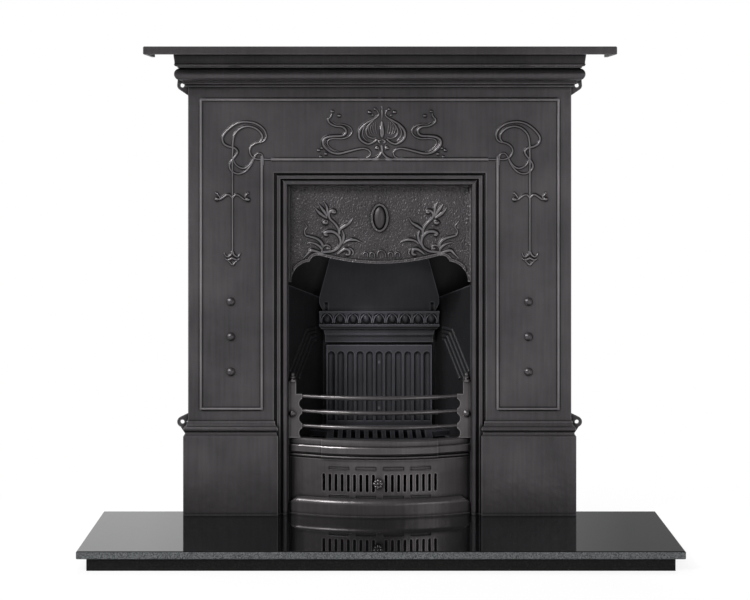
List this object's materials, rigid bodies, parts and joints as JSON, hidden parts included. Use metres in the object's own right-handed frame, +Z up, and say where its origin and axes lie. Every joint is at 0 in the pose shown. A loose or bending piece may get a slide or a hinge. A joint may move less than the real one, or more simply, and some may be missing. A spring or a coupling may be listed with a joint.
{
  "type": "cast iron fireplace",
  "caption": "Cast iron fireplace with mantel shelf, hammered hood, bowed fire bars, slotted ash cover, damper flap, ash pan and a black granite hearth.",
  "frame": {"origin": "on the floor, under the middle of the whole fireplace's footprint", "axes": "+Z up, +X to the right along the wall seen from the room, +Y from the room into the wall"},
  "size_m": [1.219, 0.5612, 1.06],
  "materials": {
    "polished_iron": "graphite-polished, satin",
    "chamber_iron": "dark, matte",
    "bolts": "dark steel, satin",
    "granite": "polished",
    "granite_strips": "honed",
    "pan_steel": "black sheet steel, satin"
  },
  "bodies": {
    "fireplace": {"hearth_slab": "granite", "hearth_riser": "granite_strips", "surround_casting": "polished_iron", "mantel_shelf": "polished_iron", "shelf_bolts": "bolts", "hood_plate": "polished_iron", "hood_bolts": "bolts", "cheek_left": "chamber_iron", "cheek_right": "chamber_iron", "cheek_bolts": "bolts", "back_casting": "chamber_iron", "fireback_panel": "chamber_iron", "back_bolts": "bolts", "smoke_chamber": "chamber_iron", "bottom_grate": "chamber_iron", "front_bars": "polished_iron", "front_bar_bolts": "polished_iron", "bow_apron": "polished_iron", "apron_bolts": "bolts", "damper_pin": "bolts"},
    "damper": {"damper_flap": "chamber_iron"},
    "cover": {"ash_cover": "polished_iron", "vent_guides": "chamber_iron"},
    "vent": {"vent_slide": "chamber_iron", "vent_spindle": "bolts", "vent_knob": "polished_iron"},
    "pan": {"ash_pan": "pan_steel", "ash_pan_handle": "pan_steel"}
  },
  "joints": [
    {"name": "damper_hinge", "type": "hinge", "parent": "fireplace", "child": "damper", "pos_m": [0, 0.24644, 0.482], "axis": [1, 0, 0], "range_deg": [0, 50]},
    {"name": "cover_pull", "type": "slide", "parent": "fireplace", "child": "cover", "axis": [0, -1, 0], "range_m": [0, 0.25]},
    {"name": "vent_shift", "type": "hinge", "parent": "cover", "child": "vent", "pos_m": [0, 0.47044, 0.111], "axis": [0, 0, 1], "range_deg": [0, 0.9]},
    {"name": "pan_pull", "type": "slide", "parent": "fireplace", "child": "pan", "axis": [0, -1, 0], "range_m": [0, 0.23]}
  ],
  "couplings": [
    {"joint": "pan_pull", "follows": "cover_pull", "ratio": 0.9}
  ]
}
